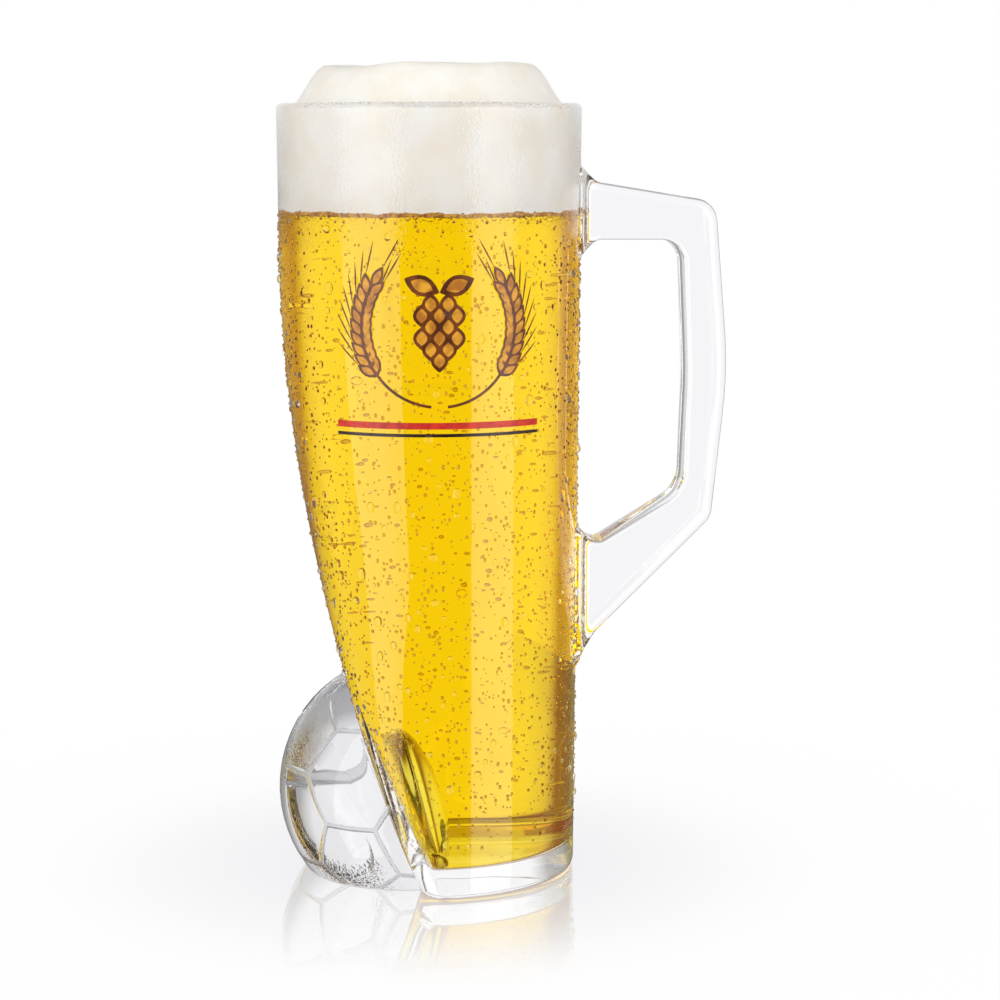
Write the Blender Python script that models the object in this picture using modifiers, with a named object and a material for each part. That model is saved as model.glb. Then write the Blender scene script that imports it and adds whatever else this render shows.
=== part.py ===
"""Beer mug: a glass body whose leaning side carries half a glass football, with a flat bar handle.

Units are metres. The body's axis is Z, the table is z = 0, the handle points along +X and the football lies
on the -X side. Every piece is symmetric about the XZ plane, apart from the football's seams.
"""

import math

import bmesh
import bpy
from mathutils import Matrix, Vector

# Glass body
RIM_HEIGHT = 0.195
RIM_RADIUS = 0.0382
TAPER = 0.0015  # radius lost from the rim to the table
WALL = 0.0028
FLOOR = 0.0072  # clear glass under the beer
FOOT_ROUND = 0.002
FLOOR_ROUND = 0.0015

# Leaning side: going down, the round section becomes a D whose flat comes in towards the axis
LEAN_BELOW_RIM = 0.035
FLAT_AT_TABLE = 0.0042  # the flat's distance from the axis at the table
LEAN_WALL = 0.005  # wall behind the flat, at the table
CORNER_RADIUS = 0.0056  # of the D's two corners, at the table
CORNER_LEAST = 0.001
CORNER_SHARPER = 1.6  # radius that a corner loses for each step into the glass
CORNER_HIGH = 0.085  # from this height up the corners reach as far as the flat does

# The ball's back, which swells into the cavity as half an ovoid on the leaning wall
BULGE_HEIGHT = 0.0205  # of its middle above the table
BULGE_OUT = 0.0052  # its middle from the wall
BULGE_TALL = 0.0172  # from its middle to its ends
BULGE_WIDE = 0.020  # from its middle to its sides
BULGE_DEEP = 0.0044  # from its middle to its front and back
BULGE_LEAN = 0.62  # of the wall's own lean

# Football
BALL_WITHIN = 0.0044  # the ball's radius is this much less than the rim's
BALL_HEIGHT = 0.0205  # of its centre above the table
BALL_SUNK = 0.0066  # its centre lies this far behind the flat
SEAM_WIDTH = 0.0016
SEAM_DEPTH = 0.0004
BALL_TURN = math.radians(-12.0)
BALL_TILT = math.radians(3.9)
BALL_TILT_TOWARDS = math.radians(59.0)

# Handle: a corner is (reach out from the wall, drop below the rim)
HANDLE_THICKNESS = 0.015
HANDLE_EDGE = 0.003
UPPER_ARM_TOP = 0.0194
SHOULDER = (0.0339, 0.0244)
GRIP_OUTSIDE = (0.0374, 0.0670)
ELBOW = (0.0334, 0.1048)
LOWER_ARM_UNDERSIDE = 0.1343
LOWER_ARM_TOP = 0.1114
INNER_ELBOW = (0.0260, 0.0977)
GRIP_INSIDE = (0.0269, 0.0680)
INNER_SHOULDER = (0.0256, 0.0339)
UPPER_ARM_UNDERSIDE = 0.0338
CORNER_ROUND = 0.006
ELBOW_ROUND = 0.009  # of the finger gap's lower corner
GRIP_ROUND = 0.110  # of the grip's slow bow
ROOT_FLARE = 0.0035
ROOT_DEPTH = 0.005  # how far the bar runs into the wall before it is cut back
UNDERSIDE_FALL = 1.6  # slope of the lower root's underside

# Drink
BEER_BELOW_RIM = 0.0263
FOAM_RISE = 0.0095  # height of the foam above the rim
FOAM_SHOULDER = 0.28  # share of the mouth's radius over which the foam rises

FIT_GAP = 0.0003  # left between pieces that touch

SIDES = 60  # of a section
BODY_RINGS = 17
BULGE_SIDES = 24
BULGE_RINGS = 16
FOAM_RINGS = 6
ARC_STEPS = 3  # on each small rounding
SEAM_STEPS = 3  # along each seam between two corners
PANEL_RING = 0.0045  # from a panel's edge to its ring of inner points
BEVEL_SEGMENTS = 3
BEVEL_ANGLE = math.radians(60.0)  # edges sharper than this are softened
FLAT_ANGLE = math.radians(0.1)  # faces closer than this are one flat
OVERSHOOT = 0.02  # how far a cutter runs past what it cuts
WELD = 1e-6

LEAN_START = RIM_HEIGHT - LEAN_BELOW_RIM
LEAN_DEPTH = RIM_RADIUS - TAPER - FLAT_AT_TABLE
BALL_RADIUS = RIM_RADIUS - BALL_WITHIN
BEER_LINE = RIM_HEIGHT - BEER_BELOW_RIM
LIP = WALL / 2.0


def clear_scene():
    """Removes every object of the file that Blender starts with."""
    for obj in list(bpy.data.objects):
        bpy.data.objects.remove(obj)


def add_collection(name):
    """Adds a collection to the scene."""
    collection = bpy.data.collections.new(name)
    bpy.context.scene.collection.children.link(collection)
    return collection


def add_material(name, colour, roughness, alpha=1.0):
    """Makes a Principled material of one colour."""
    material = bpy.data.materials.new(name)
    material.use_nodes = True
    shader = material.node_tree.nodes["Principled BSDF"]
    shader.inputs["Base Color"].default_value = (*colour, 1.0)
    shader.inputs["Roughness"].default_value = roughness
    shader.inputs["Alpha"].default_value = alpha
    return material


def add_mesh(name, mesh, collection, material=None):
    """Puts a mesh in a collection as a named object."""
    if material:
        mesh.materials.append(material)
    obj = bpy.data.objects.new(name, mesh)
    collection.objects.link(obj)
    return obj


def finish_mesh(name, bm):
    """Turns a bmesh into a mesh whose faces point out."""
    bmesh.ops.recalc_face_normals(bm, faces=bm.faces)
    mesh = bpy.data.meshes.new(name)
    bm.to_mesh(mesh)
    bm.free()
    return mesh


def add_cutter(name, bm, collection):
    """Makes a cutter, which stays out of renders and shows as wires."""
    cutter = add_mesh(name, finish_mesh(name, bm), collection)
    cutter.hide_render = True
    cutter.display_type = "WIRE"
    return cutter


def cut(obj, cutter, operation="DIFFERENCE"):
    """Cuts one object with another, or joins the other to it."""
    modifier = obj.modifiers.new(f"{operation.lower()} with {cutter.name}", "BOOLEAN")
    modifier.operation = operation
    modifier.solver = "EXACT"
    modifier.object = cutter


def blend(low, high, share):
    """A value between low and high."""
    return low + (high - low) * share


def smooth_step(low, high, value):
    """Rises smoothly from 0 at low to 1 at high."""
    share = min(max((value - low) / (high - low), 0.0), 1.0)
    return share * share * (3.0 - 2.0 * share)


def heights(low, high, count):
    """Evenly spaced heights from low to high, both included."""
    return [blend(low, high, step / count) for step in range(count + 1)]


def outside_radius(z):
    """Radius of the body's round wall at one height."""
    return RIM_RADIUS - TAPER * (1.0 - z / RIM_HEIGHT)


def lean_share(z):
    """How far the flat has come in: 0 where the lean starts and 1 at the table, along a parabola."""
    return max((LEAN_START - z) / LEAN_START, 0.0) ** 2


def flat_distance(z):
    """Distance of the leaning flat from the axis at one height."""
    return outside_radius(z) - LEAN_DEPTH * lean_share(z)


def section(z, inset=0.0, behind_flat=0.0):
    """Points of the body's D section at one height, set in from its outside, and further from the flat.

    The points are spaced by the direction that the wall faces, so they gather on the D's corners.
    """
    radius = outside_radius(z) - inset
    flat = flat_distance(z) - inset - behind_flat
    softness = smooth_step(0.0, CORNER_HIGH, z)
    corner = blend(max(CORNER_RADIUS - CORNER_SHARPER * inset, CORNER_LEAST), flat, softness)
    corner_x = corner - flat
    corner_y = math.sqrt(max((radius - corner) ** 2 - corner_x**2, 0.0))
    round_until = math.atan2(corner_y, corner_x)
    points = []
    for step in range(SIDES):
        angle = math.tau * step / SIDES
        x, y = math.cos(angle), math.sin(angle)
        if min(angle, math.tau - angle) <= round_until:
            point = (radius * x, radius * y, z)
        else:
            side = 0.0 if 2 * step == SIDES else math.copysign(corner_y, y)
            point = (corner_x + corner * x, side + corner * y, z)
        points.append(Vector(point))
    return points


def inner_section(z, inset=0.0):
    """The cavity's wall at one height. The glass is thicker behind the leaning flat."""
    return section(z, WALL + inset, (LEAN_WALL - WALL) * lean_share(z))


def rounding(radius):
    """(rise, inset) along a quarter circle, from its flat end to just short of the wall."""
    angles = [math.pi / 2.0 * step / ARC_STEPS for step in range(ARC_STEPS)]
    return [(radius * (1.0 - math.cos(a)), radius * (1.0 - math.sin(a))) for a in angles]


def outer_rings():
    """The body's outside, from the table up to where the lip begins."""
    rings = [section(rise, inset) for rise, inset in rounding(FOOT_ROUND)]
    rings += [section(z) for z in heights(FOOT_ROUND, LEAN_START, BODY_RINGS)]
    return rings + [section(RIM_HEIGHT - LIP)]


def lip_rings():
    """The half round lip between the outside and the cavity."""
    rings = []
    for step in range(1, 2 * ARC_STEPS):
        angle = math.pi * step / (2 * ARC_STEPS)
        rise = Vector((0.0, 0.0, LIP * math.sin(angle)))
        points = section(RIM_HEIGHT - LIP, LIP * (1.0 - math.cos(angle)))
        rings.append([point + rise for point in points])
    return rings


def cavity_rings(top, inset=0.0):
    """The cavity's wall from its floor up to a height, set in by a clearance."""
    floor = FLOOR + inset
    rings = [inner_section(floor + rise, inset + more) for rise, more in rounding(FLOOR_ROUND)]
    rings += [inner_section(z, inset) for z in heights(floor + FLOOR_ROUND, LEAN_START, BODY_RINGS)]
    return rings + [inner_section(top, inset)]


def loft(rings):
    """Skins rings of points and closes both ends."""
    bm = bmesh.new()
    loops = [[bm.verts.new(point) for point in ring] for ring in rings]
    sides = len(loops[0])
    for low, high in zip(loops, loops[1:]):
        for step in range(sides):
            after = (step + 1) % sides
            bm.faces.new((low[step], low[after], high[after], high[step]))
    bm.faces.new(loops[0])
    bm.faces.new(loops[-1])
    return bm


def build_bulge(name, collection, gap=0.0):
    """The ball's back in the cavity, grown by a gap: an ovoid that rises along the leaning wall."""
    low, middle, high = [
        Vector((blend(WALL, LEAN_WALL, lean_share(z)) - flat_distance(z), 0.0, z))
        for z in (BULGE_HEIGHT - BULGE_TALL, BULGE_HEIGHT, BULGE_HEIGHT + BULGE_TALL)
    ]
    lean = BULGE_LEAN * math.atan2(high.x - low.x, high.z - low.z)
    up = Vector((math.sin(lean), 0.0, math.cos(lean)))
    across = Vector((0.0, 1.0, 0.0))
    out = across.cross(up)
    middle.x += BULGE_OUT
    rings = []
    for level in range(1, BULGE_RINGS):
        turn = math.pi * (level / BULGE_RINGS - 0.5)
        depth, share = (BULGE_DEEP + gap) * math.sin(turn), math.cos(turn)
        ring = []
        for step in range(BULGE_SIDES):
            angle = math.tau * step / BULGE_SIDES
            side = across * ((BULGE_WIDE + gap) * share * math.sin(angle))
            ring.append(middle + out * depth + side + up * ((BULGE_TALL + gap) * share * math.cos(angle)))
        rings.append(ring)
    return add_cutter(name, loft(rings), collection)


def build_body(collection, cutters_collection):
    """The vessel: its outside, lip and cavity in one skin, with the ball's back joined to its wall."""
    inside = cavity_rings(RIM_HEIGHT - LIP)
    mesh = finish_mesh("glass_body", loft(outer_rings() + lip_rings() + inside[::-1]))
    glass = add_material("clear_glass", (0.86, 0.90, 0.88), 0.03, 0.35)
    body = add_mesh("glass_body", mesh, collection, glass)
    cut(body, build_bulge("bulge", cutters_collection), "UNION")


def build_seat_cutter(collection):
    """The body's outside grown by the fit gap, which football and handle are cut back from."""
    rings = [section(z, -FIT_GAP) for z in heights(0.0, LEAN_START, BODY_RINGS)]
    rings.append(section(RIM_HEIGHT, -FIT_GAP))
    below = [point - Vector((0.0, 0.0, OVERSHOOT)) for point in rings[0]]
    return add_cutter("seat_cutter", loft([below, *rings]), collection)


def build_table_cutter(collection, ball_x):
    """A block below the table, which gives the football its flat foot."""
    bm = bmesh.new()
    side = 2.0 * (BALL_RADIUS + OVERSHOOT)
    bmesh.ops.create_cube(bm, size=side)
    block = add_cutter("table_cutter", bm, collection)
    block.location = (ball_x, 0.0, -side / 2.0)
    return block


def panelled_ball():
    """A ball of pentagons and hexagons with sunk seams, its top panel a pentagon."""
    bm = bmesh.new()
    bmesh.ops.create_icosphere(bm, subdivisions=1, radius=BALL_RADIUS)
    bmesh.ops.bevel(
        bm, geom=bm.verts[:], offset=100.0 / 3.0, offset_type="PERCENT", affect="VERTICES", segments=1
    )
    for vert in bm.verts:
        vert.co = vert.co.normalized() * BALL_RADIUS
    bmesh.ops.bisect_edges(bm, edges=bm.edges[:], cuts=SEAM_STEPS - 1)
    seams = set(bm.verts)
    panels = bm.faces[:]
    for thickness in (SEAM_WIDTH / 2.0, PANEL_RING):
        bmesh.ops.inset_individual(bm, faces=panels, thickness=thickness, use_even_offset=True)
    bmesh.ops.poke(bm, faces=panels)
    for vert in bm.verts:
        sunk = SEAM_DEPTH if vert in seams else 0.0
        vert.co = vert.co.normalized() * (BALL_RADIUS - sunk)
    return bm


def build_football(collection, cutters_collection, seat_cutter):
    """The football, cut flat by the table and cut back from the body."""
    ball_x = BALL_SUNK - flat_distance(BALL_HEIGHT)
    tilt_axis = Vector((-math.sin(BALL_TILT_TOWARDS), math.cos(BALL_TILT_TOWARDS), 0.0))
    turn = Matrix.Rotation(BALL_TILT, 4, tilt_axis) @ Matrix.Rotation(BALL_TURN, 4, "Z")
    material = add_material("ball_glass", (0.88, 0.91, 0.90), 0.08, 0.35)
    ball = add_mesh("football", finish_mesh("football", panelled_ball()), collection, material)
    ball.location = (ball_x, 0.0, BALL_HEIGHT)
    ball.rotation_euler = turn.to_euler()
    cut(ball, build_table_cutter(cutters_collection, ball_x))
    cut(ball, seat_cutter)


def rounded_corner(before, corner, after, radius):
    """Points of the arc that rounds one corner of an outline."""
    to_before, to_after = (before - corner).normalized(), (after - corner).normalized()
    half = to_before.angle(to_after) / 2.0
    middle = corner + (to_before + to_after).normalized() * (radius / math.sin(half))
    start = corner + to_before * (radius / math.tan(half)) - middle
    end = corner + to_after * (radius / math.tan(half)) - middle
    points = []
    for step in range(2 * ARC_STEPS + 1):
        share = step / (2 * ARC_STEPS)
        spoke = blend(start, end, share).normalized()
        points.append(middle + spoke * radius)
    return points


def handle_corners():
    """(corner, rounding) round the handle's outline, from the upper root over the grip and back inside."""
    run_in = ROOT_FLARE + ROOT_DEPTH
    return [
        ((-ROOT_DEPTH, UPPER_ARM_TOP - run_in), 0.0),
        ((ROOT_FLARE, UPPER_ARM_TOP), ROOT_FLARE),
        (SHOULDER, CORNER_ROUND),
        (GRIP_OUTSIDE, GRIP_ROUND),
        (ELBOW, CORNER_ROUND),
        ((ROOT_FLARE, LOWER_ARM_UNDERSIDE), CORNER_ROUND),
        ((-ROOT_DEPTH, LOWER_ARM_UNDERSIDE + UNDERSIDE_FALL * run_in), 0.0),
        ((-ROOT_DEPTH, LOWER_ARM_TOP - run_in), 0.0),
        ((ROOT_FLARE, LOWER_ARM_TOP), ROOT_FLARE),
        (INNER_ELBOW, ELBOW_ROUND),
        (GRIP_INSIDE, GRIP_ROUND),
        (INNER_SHOULDER, CORNER_ROUND),
        ((ROOT_FLARE, UPPER_ARM_UNDERSIDE), ROOT_FLARE),
        ((-ROOT_DEPTH, UPPER_ARM_UNDERSIDE + run_in), 0.0),
    ]


def handle_outline():
    """The handle's outline in its own plane, with its corners rounded."""
    corners = []
    for (reach, drop), radius in handle_corners():
        corners.append((Vector((RIM_RADIUS + reach, RIM_HEIGHT - drop)), radius))
    points = []
    for step, (corner, radius) in enumerate(corners):
        before, after = corners[step - 1][0], corners[(step + 1) % len(corners)][0]
        points += rounded_corner(before, corner, after, radius) if radius else [corner]
    return points


def build_handle(collection, seat_cutter):
    """The handle: a flat bar cut from its outline, with soft edges, cut back from the body."""
    curve = bpy.data.curves.new("handle outline", "CURVE")
    curve.dimensions = "2D"
    curve.fill_mode = "BOTH"
    curve.extrude = HANDLE_THICKNESS / 2.0
    points = handle_outline()
    spline = curve.splines.new("POLY")
    spline.points.add(len(points) - 1)
    for place, point in zip(spline.points, points):
        place.co = (point.x, point.y, 0.0, 1.0)
    spline.use_cyclic_u = True
    outline = bpy.data.objects.new("handle outline", curve)
    mesh = bpy.data.meshes.new_from_object(outline)
    bpy.data.objects.remove(outline)
    mesh.name = "handle"
    mesh.transform(Matrix.Rotation(math.pi / 2.0, 4, "X"))
    material = add_material("handle_glass", (0.86, 0.90, 0.89), 0.03, 0.35)
    handle = add_mesh("handle", mesh, collection, material)
    handle.modifiers.new("weld caps", "WELD").merge_threshold = WELD
    flatten = handle.modifiers.new("one face to each flat", "DECIMATE")
    flatten.decimate_type = "DISSOLVE"
    flatten.angle_limit = FLAT_ANGLE
    bevel = handle.modifiers.new("soft edges", "BEVEL")
    bevel.width = HANDLE_EDGE
    bevel.segments = BEVEL_SEGMENTS
    bevel.limit_method = "ANGLE"
    bevel.angle_limit = BEVEL_ANGLE
    cut(handle, seat_cutter)


def build_beer(collection, cutters_collection):
    """The beer, clear of the glass by the fit gap."""
    mesh = finish_mesh("beer", loft(cavity_rings(BEER_LINE, FIT_GAP)))
    beer = add_mesh("beer", mesh, collection, add_material("golden_beer", (0.95, 0.62, 0.05), 0.10, 0.75))
    cut(beer, build_bulge("bulge_cutter", cutters_collection, FIT_GAP))


def build_foam(collection):
    """The foam head: a plug in the mouth with soft shoulders above the rim."""
    rings = [inner_section(z, FIT_GAP) for z in (BEER_LINE + FIT_GAP, RIM_HEIGHT)]
    centre = Vector((0.0, 0.0, RIM_HEIGHT))
    for step in range(1, FOAM_RINGS + 1):
        share = step / FOAM_RINGS
        rise = Vector((0.0, 0.0, FOAM_RISE * smooth_step(0.0, 1.0, share)))
        rings.append([centre + (point - centre) * (1.0 - FOAM_SHOULDER * share) + rise for point in rings[1]])
    mesh = finish_mesh("foam_head", loft(rings))
    add_mesh("foam_head", mesh, collection, add_material("beer_foam", (0.96, 0.93, 0.85), 0.70))


def main():
    """Builds the mug."""
    clear_scene()
    parts = add_collection("parts")
    cutters = add_collection("cutters")
    seat_cutter = build_seat_cutter(cutters)
    build_body(parts, cutters)
    build_football(parts, cutters, seat_cutter)
    build_handle(parts, seat_cutter)
    build_beer(parts, cutters)
    build_foam(parts)
    mug = bpy.data.objects.new("beer_mug", None)
    for part in parts.objects:
        part.parent = mug
    parts.objects.link(mug)


main()
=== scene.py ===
"""Looks of a beer mug: pressed glass with half a football at its foot, golden beer, foam and cold drops."""

import logging
import math
import random
from contextlib import contextmanager
from dataclasses import dataclass, field
from enum import Enum
from typing import Callable, Iterator, Sequence

import bpy
from mathutils import Matrix, Vector

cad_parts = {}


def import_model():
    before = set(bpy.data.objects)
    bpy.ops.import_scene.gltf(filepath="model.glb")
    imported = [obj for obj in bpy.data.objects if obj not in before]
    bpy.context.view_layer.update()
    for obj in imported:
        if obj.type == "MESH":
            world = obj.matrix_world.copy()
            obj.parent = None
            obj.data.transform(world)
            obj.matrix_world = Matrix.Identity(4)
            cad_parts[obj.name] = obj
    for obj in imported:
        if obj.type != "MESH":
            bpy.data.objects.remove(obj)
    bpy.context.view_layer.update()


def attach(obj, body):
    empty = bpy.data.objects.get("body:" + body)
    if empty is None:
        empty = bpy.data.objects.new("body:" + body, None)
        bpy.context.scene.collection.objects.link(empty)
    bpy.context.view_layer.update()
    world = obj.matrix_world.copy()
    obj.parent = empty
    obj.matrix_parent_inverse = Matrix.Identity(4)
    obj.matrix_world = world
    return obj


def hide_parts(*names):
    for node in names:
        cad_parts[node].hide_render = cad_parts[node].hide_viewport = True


LOG = logging.getLogger("beer_mug")
BODY = "root"
MM = 0.001
HALF_TURN_DEGREES = 180.0

# A face whose normal rises more than this faces up.
FACES_UP = 0.5

# Lies between two counts, so that comparing them isn't thrown by rounding.
HALF_COUNT = 0.5

# A mix node's colour sockets share their names with its other sockets, so they go by number.
COLOUR_A, COLOUR_B, MIXED = 6, 7, 2

Ring = list[Vector]
Colour = tuple[float, float, float, float]
Stops = tuple[tuple[float, ...], ...]

WHITE: Colour = (1.0, 1.0, 1.0, 1.0)
BLACK: Colour = (0.0, 0.0, 0.0, 1.0)


class Combine(Enum):
    """How one solid is combined with another."""

    FUSE = "UNION"
    CUT = "DIFFERENCE"


def blend(low: float, high: float, share: float) -> float:
    """A value between low and high."""
    return low + (high - low) * share


def smooth_step(low: float, high: float, value: float) -> float:
    """Rises smoothly from 0 at low to 1 at high."""
    share = min(max((value - low) / (high - low), 0.0), 1.0)
    return share * share * (3.0 - 2.0 * share)


def heights(low: float, high: float, count: int) -> list[float]:
    """Evenly spaced heights from low to high, both included."""
    return [blend(low, high, step / count) for step in range(count + 1)]


def linear(hex_colour: str) -> Colour:
    """Turns an sRGB hex value into a linear colour.

    Args:
        hex_colour: six hex digits after a hash sign.

    Returns:
        Red, green, blue and an alpha of 1.
    """
    channels = [int(hex_colour[place : place + 2], 16) / 255.0 for place in (1, 3, 5)]
    red, green, blue = [c / 12.92 if c <= 0.04045 else ((c + 0.055) / 1.055) ** 2.4 for c in channels]
    return red, green, blue, 1.0


def add_node(
    tree: bpy.types.NodeTree,
    kind: str,
    inputs: dict | None = None,
    stops: Sequence[tuple[float, Colour]] = (),
    **settings: object,
) -> bpy.types.Node:
    """Adds a node with its settings and links.

    Args:
        tree: the node tree that gets the node.
        kind: Blender's name for the node.
        inputs: a value or another node's output for each named or numbered input.
        stops: a place from 0 to 1 and a colour for each stop, if the node is a colour ramp.
        settings: the node's own properties.

    Returns:
        The new node.
    """
    node = tree.nodes.new(kind)
    for name, value in settings.items():
        setattr(node, name, value)
    if stops:
        elements = node.color_ramp.elements
        while len(elements) < len(stops):
            elements.new(0.5)
        for element, (place, colour) in zip(elements, stops):
            element.position, element.color = place, colour
    for name, value in (inputs or {}).items():
        if isinstance(value, bpy.types.NodeSocket):
            tree.links.new(value, node.inputs[name])
        else:
            node.inputs[name].default_value = value
    return node


def new_material(name: str) -> tuple[bpy.types.Material, bpy.types.NodeTree, bpy.types.Node]:
    """Makes a material that holds only its output.

    Args:
        name: the material's name.

    Returns:
        The material, its node tree and its output node.
    """
    material = bpy.data.materials.new(name)
    material.use_nodes = True
    tree = material.node_tree
    tree.nodes.clear()
    return material, tree, add_node(tree, "ShaderNodeOutputMaterial")


def select_only(obj: bpy.types.Object) -> None:
    """Selects one object, makes it active and deselects the rest.

    Args:
        obj: the object.
    """
    bpy.ops.object.select_all(action="DESELECT")
    bpy.context.view_layer.objects.active = obj
    obj.select_set(True)


@contextmanager
def editing(obj: bpy.types.Object) -> Iterator[None]:
    """Opens one object in edit mode, with no other object selected.

    Args:
        obj: the object to edit.

    Yields:
        None, while the object is open.
    """
    select_only(obj)
    bpy.ops.object.mode_set(mode="EDIT")
    yield
    bpy.ops.object.mode_set(mode="OBJECT")


def select_faces(obj: bpy.types.Object, wanted: Callable[[bpy.types.MeshPolygon], bool]) -> None:
    """Selects the faces of an object that pass a test, and no others.

    Args:
        obj: the object.
        wanted: says whether a face is selected.
    """
    with editing(obj):
        bpy.ops.mesh.select_mode(type="FACE")
        bpy.ops.mesh.select_all(action="DESELECT")
    for polygon in obj.data.polygons:
        polygon.select = wanted(polygon)


def border_flats(obj: bpy.types.Object, width: float) -> None:
    """Gives each many-sided flat a narrow border, so that the rounding beside it doesn't shade it.

    Args:
        obj: the object.
        width: the border's width.
    """
    select_faces(obj, lambda polygon: len(polygon.vertices) > 4)
    with editing(obj):
        bpy.ops.mesh.inset(thickness=width, use_even_offset=True)


def apply_modifiers(obj: bpy.types.Object) -> None:
    """Applies an object's modifiers in order.

    Args:
        obj: the object.
    """
    select_only(obj)
    for modifier in list(obj.modifiers):
        bpy.ops.object.modifier_apply(modifier=modifier.name)


def combine(obj: bpy.types.Object, other: bpy.types.Object, how: Combine) -> None:
    """Fuses an object with another, or cuts it with the other.

    Args:
        obj: the object that stays.
        other: the object that it is combined with.
        how: fuse or cut.
    """
    modifier = obj.modifiers.new(how.name.lower(), "BOOLEAN")
    modifier.operation = how.value
    modifier.solver = "EXACT"
    modifier.material_mode = "TRANSFER"
    modifier.object = other
    apply_modifiers(obj)


def join(objects: Sequence[bpy.types.Object], name: str) -> bpy.types.Object:
    """Joins objects into one.

    Args:
        objects: what is joined.
        name: the joined object's name.

    Returns:
        The joined object.
    """
    bpy.ops.object.select_all(action="DESELECT")
    for obj in objects:
        obj.select_set(True)
    bpy.context.view_layer.objects.active = objects[0]
    bpy.ops.object.join()
    objects[0].name = objects[0].data.name = name
    return objects[0]


def lay_copy(model: bpy.types.Object, place: Matrix) -> bpy.types.Object:
    """Copies a model, mesh and all, and moves the copy's mesh to its place.

    Args:
        model: the object to copy.
        place: where the copy goes, how it is turned and how large it is.

    Returns:
        The copy.
    """
    copy = model.copy()
    copy.data = model.data.copy()
    copy.data.transform(place)
    bpy.context.scene.collection.objects.link(copy)
    return copy


def remove(obj: bpy.types.Object) -> None:
    """Removes a helper object and its mesh."""
    bpy.data.meshes.remove(obj.data)


def smooth(obj: bpy.types.Object, degrees: float) -> None:
    """Shades an object smooth, apart from edges sharper than an angle."""
    select_only(obj)
    bpy.ops.object.shade_smooth_by_angle(angle=math.radians(degrees))


def add_piece(obj: bpy.types.Object, slot: str | None, *nodes: str) -> None:
    """Makes an object a piece of the mug and reports it.

    Args:
        obj: the finished piece.
        slot: a material slot of the record; not used.
        nodes: the CAD nodes that it stands for.
    """
    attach(obj, BODY)
    if nodes:
        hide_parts(*nodes)
    stands_for = ", ".join(nodes) or "nothing in the CAD"
    LOG.info("%s: %d faces, stands for %s", obj.name, len(obj.data.polygons), stands_for)


def skin(name: str, rings: Sequence[Ring]) -> bpy.types.Object:
    """Extrudes a circle ring by ring, moves each ring onto its section and closes both ends.

    Args:
        name: the new object's name.
        rings: the sections in order, each with the same number of points.

    Returns:
        The closed object.
    """
    sides = len(rings[0])
    bpy.ops.object.select_all(action="DESELECT")
    bpy.ops.mesh.primitive_circle_add(vertices=sides, radius=1.0)
    obj = bpy.context.active_object
    obj.name = obj.data.name = name
    with editing(obj):
        bpy.ops.mesh.select_mode(type="VERT")
        bpy.ops.mesh.select_all(action="SELECT")
        for _ in rings[1:]:
            bpy.ops.mesh.extrude_region_move(TRANSFORM_OT_translate={"value": (0.0, 0.0, 1.0)})
    for vertex in obj.data.vertices:
        turn = math.atan2(vertex.co.y, vertex.co.x) / math.tau
        vertex.co = rings[round(vertex.co.z)][round(turn * sides) % sides]
    with editing(obj):
        bpy.ops.mesh.select_all(action="SELECT")
        bpy.ops.mesh.fill_holes(sides=0)
        bpy.ops.mesh.normals_make_consistent(inside=False)
    return obj


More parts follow.
